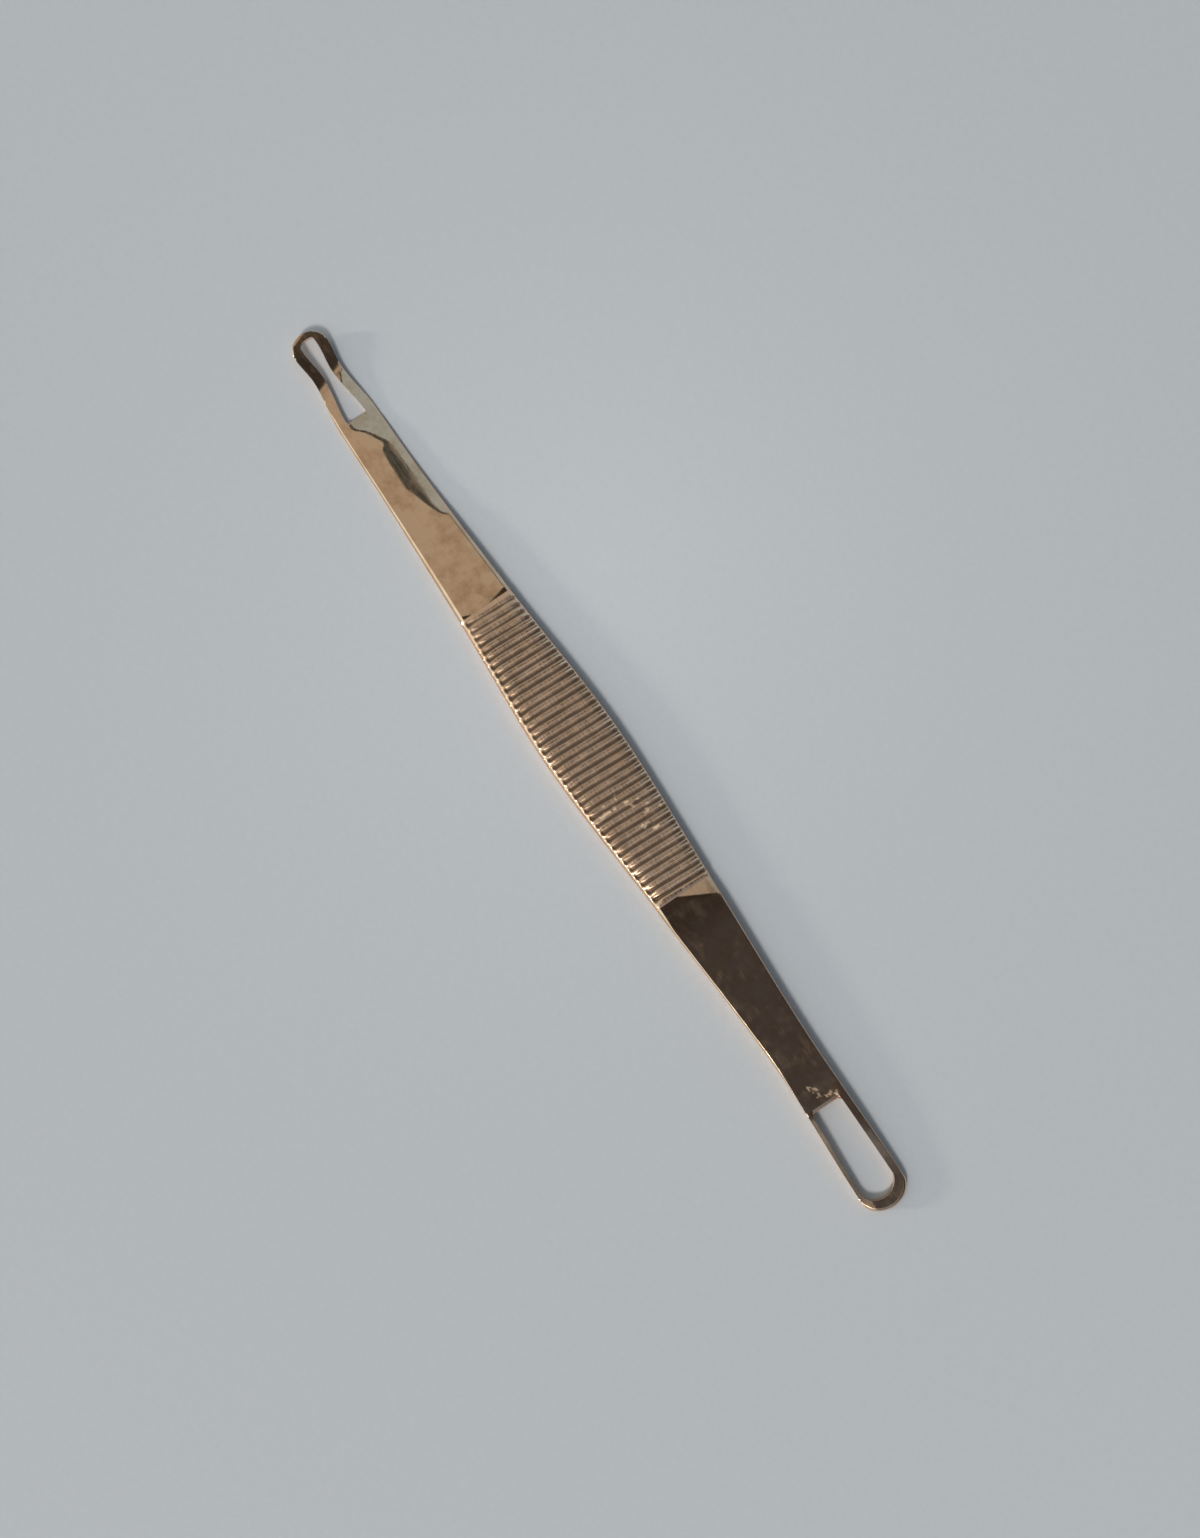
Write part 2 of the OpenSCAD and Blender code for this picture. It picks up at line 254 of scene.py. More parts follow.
class Strip:
    """The outline, thickness and bends of the whole strip."""

    def __init__(self, sizes, loops):
        low, high = CAD_BOX
        boxes = {name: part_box(name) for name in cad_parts}
        wide = {name: (box[1] - box[0]).y for name, box in boxes.items()}
        self.start = low.x
        self.length = high.x - low.x
        self.narrow_root = boxes["narrow_loop"][1].x - low.x
        self.grip_start = boxes["ribbed_grip"][0].x - low.x
        self.grip_end = boxes["ribbed_grip"][1].x - low.x
        self.wide_root = boxes["wide_loop"][0].x - low.x
        self.grip_middle = (self.grip_start + self.grip_end) / 2
        grip_t = boxes["ribbed_grip"][1].z
        narrow_shank_len = self.grip_start - self.narrow_root
        slimmest = self.narrow_root + narrow_shank_len / 4
        self.half_width = smooth_curve([
            (loops.narrow_tip_reach, sizes.narrow_head_w / 2),
            (sizes.narrow_neck_at, sizes.narrow_neck_w / 2),
            (self.narrow_root, wide["narrow_loop"] / 2),
            (slimmest, sizes.narrow_shank_w / 2),
            (self.grip_start, wide["narrow_shank"] / 2),
            (self.grip_middle, wide["ribbed_grip"] / 2),
            (self.grip_end, wide["wide_shank"] / 2),
            (self.wide_root - sizes.waist_before_slot, sizes.waist_w / 2),
            (self.length - loops.wide_tip_reach, wide["wide_loop"] / 2),
        ])
        self.thickness = smooth_curve([
            (0.0, sizes.narrow_loop_t),
            (sizes.thin_len, sizes.narrow_loop_t),
            (self.grip_start, sizes.grip_start_t),
            (self.grip_middle, grip_t),
            (self.grip_end, grip_t),
            (self.wide_root, boxes["wide_loop"][1].z),
            (self.length, sizes.wide_tip_t),
        ])
        self.middle = smooth_curve([
            (0.0, 0.0),
            (slimmest, -sizes.narrow_bow),
            (self.grip_start + (self.grip_end - self.grip_start) / 4, 0.0),
            (self.wide_root - (self.wide_root - self.grip_end) / 5, sizes.wide_bow),
            (self.length, sizes.wide_tip_shift),
        ])
        self.sizes = sizes

    def lift(self, at, y):
        """Height of the bent-up end: a straight ramp, and a short curve into the level strip."""
        s = self.sizes
        before = s.bend_at - at - y * tan(s.bend_skew)
        eased = max(0.0, min(s.bend_round, before + s.bend_round / 2))
        straight = before > s.bend_round / 2
        return s.tip_lift / s.bend_at * (before if straight else eased ** 2 / (2 * s.bend_round))

    def edge_radii(self, at):
        """Roundings of the strip's bottom edges, top left edge and top right edge."""
        most = EDGE_MOST * self.thickness(at)
        low = self.sizes.edge_r
        return min(low, most), min(LEFT_EDGE_R(at), most), min(RIGHT_EDGE_R(at), most)


# An edge's largest rounding, as a share of the thickness and of a rail's width
EDGE_MOST = 0.42
RAIL_EDGE_MOST = 0.55

# Top edges as polishing has rounded them: distance from the narrow tip and radius
LEFT_EDGE_R = curve_mm([
    (4, 0), (9, 0.2), (31, 0.3), (64, 0.28), (67, 0.22), (97, 0.15), (99, 0.35),
])
RIGHT_EDGE_R = curve_mm([
    (0.3, 0), (0.9, 0.14), (1.6, 0), (6.5, 0), (9.5, 0.38), (12, 0.42), (47, 0.5), (64, 0.42),
    (67, 0.2), (78, 0.18), (82, 0.22), (84.5, 0.12), (88, 0), (97.6, 0), (98.9, 0.4),
])

# The polishing wheel has rolled the face off to the left beside the narrow slot. Each entry is the
# distance from the narrow tip, where the roll starts across the strip and how wide its first turn is.
ROLL_OFF_MM = [
    (3.6, 2.3, 0.02),
    (5.0, 1.1, 0.02),
    (6.6, 0.2, 0.02),
    (8.4, -0.8, 0.05),
    (9.9, -1.1, 0.25),
    (10.9, -0.25, 0.3),
    (11.9, 0.35, 0.35),
    (12.75, 0.7, 0.5),
    (13.3, 0.25, 1.1),
    (14.6, 0.1, 1.3),
    (16.1, 0.03, 1.4),
    (17.4, 0.0, 1.4),
    (18.2, 0.3, 1.1),
    (19.2, 0.6, 0.75),
    (20.2, 0.95, 0.45),
    (21.3, 1.45, 0.2),
    (22.5, 2.6, 0.1),
]
ROLL_START = curve_mm([(at, start) for at, start, turn in ROLL_OFF_MM])
ROLL_TURN = curve_mm([(at, turn) for at, start, turn in ROLL_OFF_MM])
# Widths over which the slope starts before the first turn and grows after it, and the slopes
ROLL_LEAD = 0.12 * MM
ROLL_REST = 0.15 * MM
ROLL_SLOPES = (0.0, tan(radians(1.7)), tan(radians(3.6)), tan(radians(5.6)))


def roll_off(at, y):
    """Drop of the polished face beside the narrow slot."""
    start = ROLL_START(at)
    turn = ROLL_TURN(at)
    places = (start - ROLL_LEAD, start, start + turn, start + turn + ROLL_REST)
    return slid(y, list(zip(places, ROLL_SLOPES)))


# Ends of the line on which the facet behind the ribs runs out, as (distance, sideways), and its slope
FACET_LINE = ((64.0 * MM, -0.74 * MM), (66.0 * MM, 3.1 * MM))
FACET_SLOPE = 0.095
# The two wedges before the ribs: the side where each is longest, where it ends and that length
DIPS = ((2.4 * MM, 0.2 * MM, 0.5 * MM), (-2.4 * MM, -1.4 * MM, 0.4 * MM))
DIP_SLOPE = 0.055


def facet(at, y):
    """Drop of the small slanting facet that the grinding left behind the ribs."""
    (at0, y0), (at1, y1) = FACET_LINE
    runs_out = at0 + (y - y0) * (at1 - at0) / (y1 - y0)
    return FACET_SLOPE * max(0.0, runs_out - at)


def dips(at, y, grip_start):
    """Drop of the two small wedges where the narrow shank meets the ribs."""
    drop = 0.0
    for longest, end, reach in DIPS:
        part = min(max((y - end) / (longest - end), 0.0), 1.0)
        drop = max(drop, DIP_SLOPE * (at - (grip_start - reach * part)) if part else 0.0)
    return drop


# Where knocks have left pale flecks: distance, sideways, reach along and reach across
SCUFFS_MM = (
    (52.9, 0.0, 0.3, 0.15),
    (53.1, -1.3, 0.15, 0.3),
    (53.7, -0.7, 0.35, 0.25),
    (53.85, -1.9, 0.4, 0.5),
    (53.9, 0.5, 0.25, 0.3),
    (54.2, 1.6, 0.2, 0.3),
    (54.6, 0.9, 0.4, 0.25),
    (55.0, 2.1, 0.25, 0.25),
    (55.6, 1.9, 0.3, 0.3),
    (55.9, 3.2, 0.2, 0.3),
    (56.7, 0.8, 0.25, 0.5),
    (57.4, 1.6, 0.25, 0.4),
    (85.9, -0.4, 0.45, 0.25),
    (86.4, 0.1, 0.3, 0.35),
    (87.2, 0.0, 0.3, 0.3),
    (87.4, 0.8, 0.25, 0.5),
    (87.7, 1.5, 0.2, 0.3),
)
SCUFF_GRAIN = 0.25 * MM
SCUFF_RAGGED = 1.3

# Handling has hazed the wide end a little, in patches and specks. Its thin rail is made pale most of
# all: a painted sheen in place of its reflection
HAZE_FROM = 65.0 * MM
HAZE_PATCH = 2.4 * MM
HAZE_SPECK = 0.7 * MM
HAZE_MOST = 0.45
PAINTED_SHEEN_RAIL = (88.0 * MM, -1.5 * MM)
PAINTED_SHEEN_MOST = 0.75


def scuff_and_sheen_share(at, y):
    """How much a point of the top face is made pale and dull, from 0 to 1: scuffs, haze, and the
    painted sheen on the thin rail.
    """
    amount = 0.0
    if at > HAZE_FROM:
        patch = noise.noise(Vector((at, 1.3 * y, 5.0)) / HAZE_PATCH)
        patch += 0.8 * noise.noise(Vector((at, y, 9.0)) / HAZE_SPECK)
        amount = HAZE_MOST * fade(patch, -0.9, 1.0)
    # Painted sheen: the thin right rail is made pale in place of its reflection
    rail_at, rail_y = PAINTED_SHEEN_RAIL
    if at > rail_at and y < rail_y:
        amount = max(amount, PAINTED_SHEEN_MOST * fade(at, rail_at, rail_at + MM))
    for centre, side, along, across in SCUFFS_MM:
        away = sqrt(((at / MM - centre) / along) ** 2 + ((y / MM - side) / across) ** 2)
        if away < 2:
            grain = noise.noise(Vector((at, y, centre * MM)) / SCUFF_GRAIN)
            amount = max(amount, 1 - fade(away + SCUFF_RAGGED * grain, 0.2, 1.1))
    return amount


# Lengths and heights of the slow and the quick waves of the polished faces
SLOW_WAVE = 5 * MM
SLOW_HEIGHT = 0.006 * MM
QUICK_WAVE = 1.3 * MM
QUICK_HEIGHT = 0.0006 * MM


def waves(at, y):
    """Drop of the slight unevenness that hand polishing leaves."""
    slow = noise.noise(Vector((at, 2 * y, 0.0)) / SLOW_WAVE)
    quick = noise.noise(Vector((at, 1.5 * y, 1.0)) / QUICK_WAVE)
    return SLOW_HEIGHT * (1 + slow) + QUICK_HEIGHT * (1 + quick)


# The hollow behind the ribs, as a share of the one before them
HOLLOW_BEHIND = 0.5


def shank_relief(strip, at, y):
    """Drop of the polished top face below its plain thickness."""
    ribs_away = max(strip.grip_start - at, at - strip.grip_end, 0.0)
    hollow = strip.sizes.shank_step * (1 - fade(ribs_away, 0.0, strip.sizes.hollow_len))
    drop = waves(at, y)
    if at < strip.grip_middle:
        return drop + hollow + roll_off(at, y) + dips(at, y, strip.grip_start)
    return drop + hollow * HOLLOW_BEHIND + facet(at, y)


def rounded_section(width, height, radii, cuts, steps=6):
    """Outline of a section as (across, up) pairs: a circle whose quarters are pushed apart.

    radii are those at the bottom start, bottom end, top end and top start. The flats between the
    quarters have cuts more points each.
    """
    low_first, low_last, top_last, top_first = radii
    corners = (
        (low_first, low_first, low_first, pi),
        (width - low_last, low_last, low_last, 1.5 * pi),
        (width - top_last, height - top_last, top_last, 0.0),
        (top_first, height - top_first, top_first, 0.5 * pi),
    )
    outline = []
    for number, (across, up, r, turn) in enumerate(corners):
        for i in range(steps + 1):
            angle = turn + 0.5 * pi * i / steps
            outline.append((across + r * cos(angle), up + r * sin(angle)))
        if number == 0:
            ends = (low_first, width - low_last, 0.0)
        elif number == 2:
            ends = (width - top_last, top_first, height)
        else:
            continue
        for i in range(1, cuts + 1):
            outline.append((ends[0] + (ends[1] - ends[0]) * i / (cuts + 1), ends[2]))
    return outline


def ring_across(strip, start, end, radii, cuts):
    """Section of the strip between two (distance, sideways) points, as (at, y, up, height)."""
    width = sqrt((end[0] - start[0]) ** 2 + (end[1] - start[1]) ** 2)
    height = strip.thickness((start[0] + end[0]) / 2)
    ring = []
    for across, up in rounded_section(width, height, radii, cuts):
        t = across / width
        ring.append((
            start[0] + (end[0] - start[0]) * t, start[1] + (end[1] - start[1]) * t, up, height
        ))
    return ring


def full_ring(strip, at, cuts, slant=0.0):
    """Section right across the strip, whose ends may lie at different distances."""
    half = strip.half_width(at)
    middle = strip.middle(at)
    low, left_top, right_top = strip.edge_radii(at)
    left = (at + slant * half, middle + half)
    right = (at - slant * half, middle - half)
    return ring_across(strip, left, right, (low, low, right_top, left_top), cuts)


# Points between the corners of a section: of a rail, of each shank and of the grip
RAIL_CUTS = 7
NARROW_CUTS = 44
WIDE_CUTS = 36
GRIP_CUTS = 34


def rail_ring(strip, outer, inner, side, slot_r):
    """Section of a rail from its outer edge to its slot. side is 1 on the left, -1 on the right."""
    low, left_top, right_top = strip.edge_radii(outer[0])
    most = RAIL_EDGE_MOST * sqrt((outer[0] - inner[0]) ** 2 + (outer[1] - inner[1]) ** 2)
    top = left_top + (right_top - left_top) * (1 - side) / 2
    radii = (min(low, most), slot_r, slot_r, min(top, most))
    return ring_across(strip, outer, inner, radii, RAIL_CUTS)


def even_places(first, last, gap):
    """Evenly spaced distances from one place to another, about gap apart."""
    count = ceil(abs(last - first) / gap)
    return [first + (last - first) * i / count for i in range(count + 1)]


# Edges sharper than this aren't shaded smooth, and points closer than this are one
SHARP_ANGLE = radians(50)
MERGE_DIST = 1e-4 * MM


def rolled_skin(rings, node, shape):
    """A closed skin through rings of points: a grid, rolled round and closed at both ends.

    shape turns a ring's point into a height and a share of painted groove shade and darkening.
    """
    around = len(rings[0])
    low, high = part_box(node)
    bm = bmesh.new()
    bmesh.ops.create_grid(bm, x_segments=len(rings) - 1, y_segments=around, size=0.5)
    soil = bm.verts.layers.float.new("soil")
    scuff = bm.verts.layers.float.new("scuff")
    for v in bm.verts:
        ring = rings[round((v.co.x + 0.5) * (len(rings) - 1))]
        at, y, up, height = ring[round((v.co.y + 0.5) * around) % around]
        z, v[soil] = shape(at, y, up, height)
        v[scuff] = scuff_and_sheen_share(at, y) if up > height / 2 else 0.0
        place = Vector((at + CAD_BOX[0].x, y, z))
        v.co = [min(max(c, l), h) for c, l, h in zip(place, low, high)]
    bmesh.ops.remove_doubles(bm, verts=bm.verts, dist=MERGE_DIST)
    bmesh.ops.recalc_face_normals(bm, faces=bm.faces)
    for face in bm.faces:
        face.smooth = True
    for edge in bm.edges:
        edge.smooth = edge.calc_face_angle(0.0) < SHARP_ANGLE
    rims = [edge for edge in bm.edges if edge.is_boundary]
    bmesh.ops.holes_fill(bm, edges=rims, sides=0)
    for edge in rims:
        edge.smooth = False
    bmesh.ops.recalc_face_normals(bm, faces=bm.faces)
    return bm


# How nearly an edge has to lie in the shank's end, and lie level, to be rolled over
IN_END = 0.01 * MM
LEVEL = 0.02 * MM


def roll_root_edge(bm, root_x, left_y, right_y, reach):
    """Rolls over the shank's edges above and below the slot, where its end shows."""
    edges = [
        edge for edge in bm.edges
        if not edge.smooth and all(
            abs(v.co.x - root_x) < IN_END and right_y < v.co.y < left_y for v in edge.verts
        )
    ]
    flats = [edge for edge in edges if abs(edge.verts[0].co.z - edge.verts[1].co.z) < LEVEL]
    for edge in flats:
        edge.smooth = True
    made = bmesh.ops.bevel(
        bm, geom=flats, offset=reach, segments=4, profile=0.5, affect="EDGES", material=-1
    )
    for face in made["faces"]:
        face.smooth = True


def place_piece(bm, node, material):
    """Makes a mesh into the piece that stands for a CAD node."""
    mesh = bpy.data.meshes.new(node + "_skin")
    bm.to_mesh(mesh)
    bm.free()
    mesh.materials.append(material)
    piece = bpy.data.objects.new(node + "_skin", mesh)
    bpy.context.scene.collection.objects.link(piece)
    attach(piece, "root")
    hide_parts(node)


def place_polished(context, bm, node):
    """Places a loop or a shank, whose faces are polished."""
    place_piece(bm, node, polished_plating(context.scene.extractor_plating))


def polished_shape(strip):
    """Height of a point of a polished length of the strip, whose faces get no painted groove shade."""
    def shape(at, y, up, height):
        drop = shank_relief(strip, at, y) * up / height
        return strip.lift(at, y) + up - drop, 0.0
    return shape


# Steps round a slot's corner and round a tip, and the gaps between rings along the strip
CORNER_STEPS = 6
TIP_STEPS = 48
RING_GAP = 0.15 * MM
FINE_RING_GAP = 0.12 * MM


def rail_rings(strip, loops, root, tip, side, rail_w, reach, inner_reach, way):
    """Rings along one rail, from the root of the slot to where the tip's rounding starts."""
    outer_end = tip - way * reach
    inner_end = tip - way * inner_reach
    corner = loops.slot_corner_r
    first = root + way * corner
    rings = []

    def add(outer_at, inner_at, extra):
        outer = (outer_at, strip.middle(outer_at) + side * strip.half_width(outer_at))
        inner_half = strip.half_width(inner_at) - rail_w - extra
        inner = (inner_at, strip.middle(inner_at) + side * inner_half)
        rings.append(rail_ring(strip, outer, inner, side, loops.slot_edge_r))

    for i in range(CORNER_STEPS):
        turn = 0.5 * pi * i / CORNER_STEPS
        at = root + way * corner * (1 - cos(turn))
        add(at, at, corner * (1 - sin(turn)))
    for t in even_places(0.0, 1.0, RING_GAP / abs(outer_end - first)):
        add(first + (outer_end - first) * t, first + (inner_end - first) * t, 0.0)
    return rings


def squared(value, power):
    """A sine or cosine pushed towards 1 or -1, which squares up the corners of an ellipse."""
    return (1 if value > 0 else -1) * abs(value) ** power


def loop_rings(strip, loops, root, tip, left_w, right_w, reach, bar, slot_round, powers):
    """Rings round a whole loop, from the root of its left rail to the root of its right one.

    powers square up the left and right corners of the slot's rounded end: 1 is an ellipse.
    """
    way = 1 if tip > root else -1
    inner_reach = bar + slot_round
    sides = [
        rail_rings(strip, loops, root, tip, side, rail_w, reach, inner_reach, way)
        for side, rail_w in ((1, left_w), (-1, right_w))
    ]
    outer_at = tip - way * reach
    inner_at = tip - way * inner_reach
    outer_half = strip.half_width(outer_at)
    inner_half = strip.half_width(inner_at) - (left_w + right_w) / 2
    shift = (right_w - left_w) / 2
    rings = []
    for i in range(1, TIP_STEPS):
        turn = pi / 2 - pi * i / TIP_STEPS
        power = powers[0] if turn > 0 else powers[1]
        outer = (outer_at + way * reach * cos(turn), strip.middle(outer_at) + outer_half * sin(turn))
        inner = (
            inner_at + way * slot_round * squared(cos(turn), power),
            strip.middle(inner_at) + shift + inner_half * squared(sin(turn), power),
        )
        rings.append(rail_ring(strip, outer, inner, sin(turn), loops.slot_edge_r))
    return sides[0] + rings + sides[1][::-1]


def add_node(tree, kind, inputs=None, **settings):
    """Adds a node with its settings. An input is a value, a node or a (node, output name) pair."""
    node = tree.nodes.new(kind)
    for name, value in settings.items():
        setattr(node, name, value)
    for key, value in (inputs or {}).items():
        if isinstance(key, int):
            socket = node.inputs[key]
        else:
            socket = next(s for s in node.inputs if s.name == key and s.enabled)
        if isinstance(value, bpy.types.Node):
            tree.links.new(next(o for o in value.outputs if o.enabled), socket)
        elif isinstance(value, tuple) and isinstance(value[0], bpy.types.Node):
            tree.links.new(value[0].outputs[value[1]], socket)
        else:
            socket.default_value = value
    return node


def per_metre(size_mm):
    """Scale of a pattern whose features are this many millimetres across."""
    return 1 / (size_mm * MM)


def rgba(rgb):
    """A colour socket's value."""
    return (*rgb, 1.0)


# Height of the polishing marks
MARK_HEIGHT = 0.004 * MM


def plated_steel(name, look, plating, tarnish, roughness, grain):
    """Steel with a thin gold-tone plating.

    The eye sees a warm mirror: what lies around it, tinted tan, a little blurred by polishing marks
    and mottled and hazy where the plating has dulled. Painted shade makes the grooves dark, the ribs'
    tops are a little darker, a knock leaves a pale, dull fleck and a painted sheen makes the thin rail
    pale in place of its reflection. grain is how strongly the polishing marks show.
    """
    material = bpy.data.materials.get(name)
    if material:
        return material
    material = bpy.data.materials.new(name)
    material.use_nodes = True
    tree = material.node_tree
    tree.nodes.clear()
    place = (add_node(tree, "ShaderNodeTexCoord"), "Object")
    patches = add_node(
        tree, "ShaderNodeTexNoise",
        {"Vector": place, "Scale": per_metre(1.8), "Detail": 5.0, "Roughness": 0.65},
    )
    darkened = add_node(
        tree, "ShaderNodeMapRange", {"Value": patches, "From Min": 0.42, "From Max": 0.7}
    )
    base = add_node(
        tree, "ShaderNodeMix",
        {"Factor": darkened, "A": rgba(plating), "B": rgba(tarnish)},
        data_type="RGBA",
    )
    # Fine scratches run every way, and are drawn about ten times as wide as real ones to show
    turned = add_node(
        tree, "ShaderNodeMapping",
        {"Vector": place, "Rotation": (0.0, 0.0, radians(34)), "Scale": (1.0, 9.0, 1.0)},
    )
    scratches = add_node(
        tree, "ShaderNodeTexNoise",
        {"Vector": turned, "Scale": per_metre(1.6), "Detail": 2.0, "Roughness": 0.6},
    )
    pebbles = add_node(
        tree, "ShaderNodeTexNoise",
        {"Vector": place, "Scale": per_metre(0.5), "Detail": 3.0, "Roughness": 0.5},
    )
    marks = add_node(
        tree, "ShaderNodeMath", {0: scratches, 1: pebbles}, operation="ADD"
    )
    bump = add_node(
        tree, "ShaderNodeBump",
        {"Strength": grain, "Distance": MARK_HEIGHT, "Height": marks},
    )
    gloss = add_node(
        tree, "ShaderNodeMapRange",
        {
            "Value": scratches, "From Min": 0.3, "From Max": 0.75,
            "To Min": roughness * 0.8, "To Max": roughness * 1.5,
        },
    )
    haze = add_node(
        tree, "ShaderNodeMapRange",
        {"Value": patches, "From Min": 0.5, "From Max": 0.72, "To Max": 0.07},
    )
    gloss = add_node(tree, "ShaderNodeMath", {0: gloss, 1: haze}, operation="ADD")
    # Painted groove shade and scuffs come from the mesh: how deep a point lies in a groove, and where
    # it was knocked. The same attributes carry the darkened rib tops and the painted sheen on the thin
    # rail.
    for attribute, low, high, most, tone, duller in (
        ("soil", 0.0, 0.8, 0.9, look.soil, 0.2),
        ("scuff", 0.2, 1.0, 0.7, look.scuff, 0.35),
    ):
        amount = (add_node(tree, "ShaderNodeAttribute", attribute_name=attribute), "Fac")
        cover = add_node(
            tree, "ShaderNodeMapRange",
            {"Value": amount, "From Min": low, "From Max": high, "To Max": most},
        )
        base = add_node(
            tree, "ShaderNodeMix", {"Factor": cover, "A": (base, 2), "B": rgba(tone)},
            data_type="RGBA",
        )
        gloss = add_node(
            tree, "ShaderNodeMath", {0: cover, 1: duller, 2: gloss}, operation="MULTIPLY_ADD"
        )
    shader = add_node(
        tree, "ShaderNodeBsdfPrincipled",
        {"Base Color": (base, 2), "Metallic": 1.0, "Roughness": gloss, "Normal": bump},
    )
    add_node(tree, "ShaderNodeOutputMaterial", {"Surface": shader})
    return material


def polished_plating(look):
    """The machine-polished faces of the loops and shanks."""
    return plated_steel(
        "polished_plated_steel", look, look.plating, look.tarnish, look.polished_roughness,
        grain=0.25,
    )


def ribbed_plating(look):
    """The stamped ribs, duller than the polished faces, with painted shade in the grooves."""
    return plated_steel(
        "ribbed_plated_steel", look, look.rib_plating, look.rib_tarnish, look.ribbed_roughness,
        grain=0.4,
    )


# Centre of the pool of light painted into the floor's colour, and how far it reaches
FLOOR_PAINTED_LIGHT_AT = (-0.0164, 0.0115, 0.0)
FLOOR_PAINTED_LIGHT_REACH = 0.08
# Levels of the painted light far from there and right there, of the floor's grain, and half its width
FLOOR_PAINTED_LIGHT_LEVELS = (0.94, 1.07)
FLOOR_GRAIN = (0.96, 1.04)
FLOOR_HALF = 6.0


def sheet_floor(look):
    """Matt painted board: a pale grey with a faint grain and a painted pool of light, brightest behind
    the tool.
    """
    material = bpy.data.materials.new("matt_board")
    material.use_nodes = True
    tree = material.node_tree
    tree.nodes.clear()
    place = (add_node(tree, "ShaderNodeTexCoord"), "Object")
    grain = add_node(
        tree, "ShaderNodeTexNoise", {"Vector": place, "Scale": per_metre(0.6), "Detail": 3.0}
    )
    centred = add_node(
        tree, "ShaderNodeVectorMath", {0: place, 1: FLOOR_PAINTED_LIGHT_AT}, operation="SUBTRACT"
    )
    scaled = add_node(
        tree, "ShaderNodeVectorMath", {0: centred, "Scale": 1 / FLOOR_PAINTED_LIGHT_REACH}, operation="SCALE"
    )
    # Painted pool of light: the floor's colour grows brighter towards its centre
    painted_pool = add_node(
        tree, "ShaderNodeTexGradient", {"Vector": scaled}, gradient_type="QUADRATIC_SPHERE"
    )
    lit = add_node(
        tree, "ShaderNodeMapRange",
        {"Value": (painted_pool, "Fac"), "To Min": FLOOR_PAINTED_LIGHT_LEVELS[0], "To Max": FLOOR_PAINTED_LIGHT_LEVELS[1]},
    )
    level = add_node(
        tree, "ShaderNodeMapRange",
        {"Value": grain, "To Min": FLOOR_GRAIN[0], "To Max": FLOOR_GRAIN[1]},
    )
    level = add_node(tree, "ShaderNodeMath", {0: lit, 1: level}, operation="MULTIPLY")
    tone = add_node(
        tree, "ShaderNodeVectorMath", {0: look.floor[:], "Scale": level}, operation="SCALE"
    )
    shader = add_node(tree, "ShaderNodeBsdfPrincipled", {"Base Color": tone, "Roughness": 0.9})
    add_node(tree, "ShaderNodeOutputMaterial", {"Surface": shader})
    return material


OPEN_ROOM = "#B2B6BA"
# What else surrounds the tool, as windows in degrees from straight up: along from, to, across from, to,
# softness of the borders, colour and strength. Later ones cover earlier ones.
SURROUNDINGS = (
    # Grey wall beyond the wide end
    (18, 90, -60, 60, 4, "#7D8B9C", 1.0),
    # Long soft box on the right, which draws the bright line along the right edge
    (-60, 40, -72, -18, 6, "#EBFCFF", 1.1),
    # Ceiling behind the narrow end, which the narrow shank mirrors
    (-80, -3.5, -14, 9, 2, "#B2B0A9", 1.0),
    # Cool wall on the left, which is in the shade beyond the wide end
    (-60, 4, 8, 62, 3, "#A2BACA", 1.0),
    (2, 60, 52, 90, 4, "#66788A", 1.0),
    (2, 60, 8, 58, 4, "#38383A", 1.0),
    # Dark card overhead, towards the wide end
    (-4.4, 20.5, -14, 9, 1.5, "#43454B", 1.0),
    (-4.4, 5, -12, 9, 1.5, "#2E2D2D", 1.0),
    # Arm that holds the card
    (-24, -7, 2.4, 7.2, 0.6, "#3C464A", 1.0),
)


def window(tree, angle, low, high, soft):
    """1 where an angle in degrees lies between low and high, with soft borders."""
    rise = add_node(
        tree, "ShaderNodeMapRange",
        {"Value": angle, "From Min": low - soft / 2, "From Max": low + soft / 2},
        interpolation_type="SMOOTHSTEP",
    )
    fall = add_node(
        tree, "ShaderNodeMapRange",
        {
            "Value": angle, "From Min": high - soft / 2, "From Max": high + soft / 2,
            "To Min": 1.0, "To Max": 0.0,
        },
        interpolation_type="SMOOTHSTEP",
    )
    return add_node(tree, "ShaderNodeMath", {0: rise, 1: fall}, operation="MULTIPLY")


def surroundings(look):
    """A studio seen from the tool: pale all round, with a soft box, a cool side and a card."""
    world = bpy.data.worlds.new("studio")
    world.use_nodes = True
    bpy.context.scene.world = world
    tree = world.node_tree
    tree.nodes.clear()
    direction = (add_node(tree, "ShaderNodeTexCoord"), "Generated")
    parts = add_node(tree, "ShaderNodeSeparateXYZ", {"Vector": direction})
    angles = []
    for axis in "XY":
        turn = add_node(
            tree, "ShaderNodeMath", {0: (parts, axis), 1: (parts, "Z")}, operation="ARCTAN2"
        )
        angles.append(add_node(tree, "ShaderNodeMath", {0: turn}, operation="DEGREES"))
    seen = add_node(tree, "ShaderNodeRGB")
    seen.outputs[0].default_value = rgba(linear_rgb(OPEN_ROOM))
    colour_of = (seen, 0)
    for x0, x1, y0, y1, soft, hex_colour, strength in SURROUNDINGS:
        along = window(tree, angles[0], x0, x1, soft)
        across = window(tree, angles[1], y0, y1, soft)
        both = add_node(tree, "ShaderNodeMath", {0: along, 1: across}, operation="MULTIPLY")
        patch = tuple(c * strength for c in linear_rgb(hex_colour))
        mixed = add_node(
            tree, "ShaderNodeMix", {"Factor": both, "A": colour_of, "B": rgba(patch)},
            data_type="RGBA",
        )
        colour_of = (mixed, 2)
    light = add_node(
        tree, "ShaderNodeBackground", {"Color": colour_of, "Strength": look.sky_share}
    )
    add_node(tree, "ShaderNodeOutputWorld", {"Surface": light})


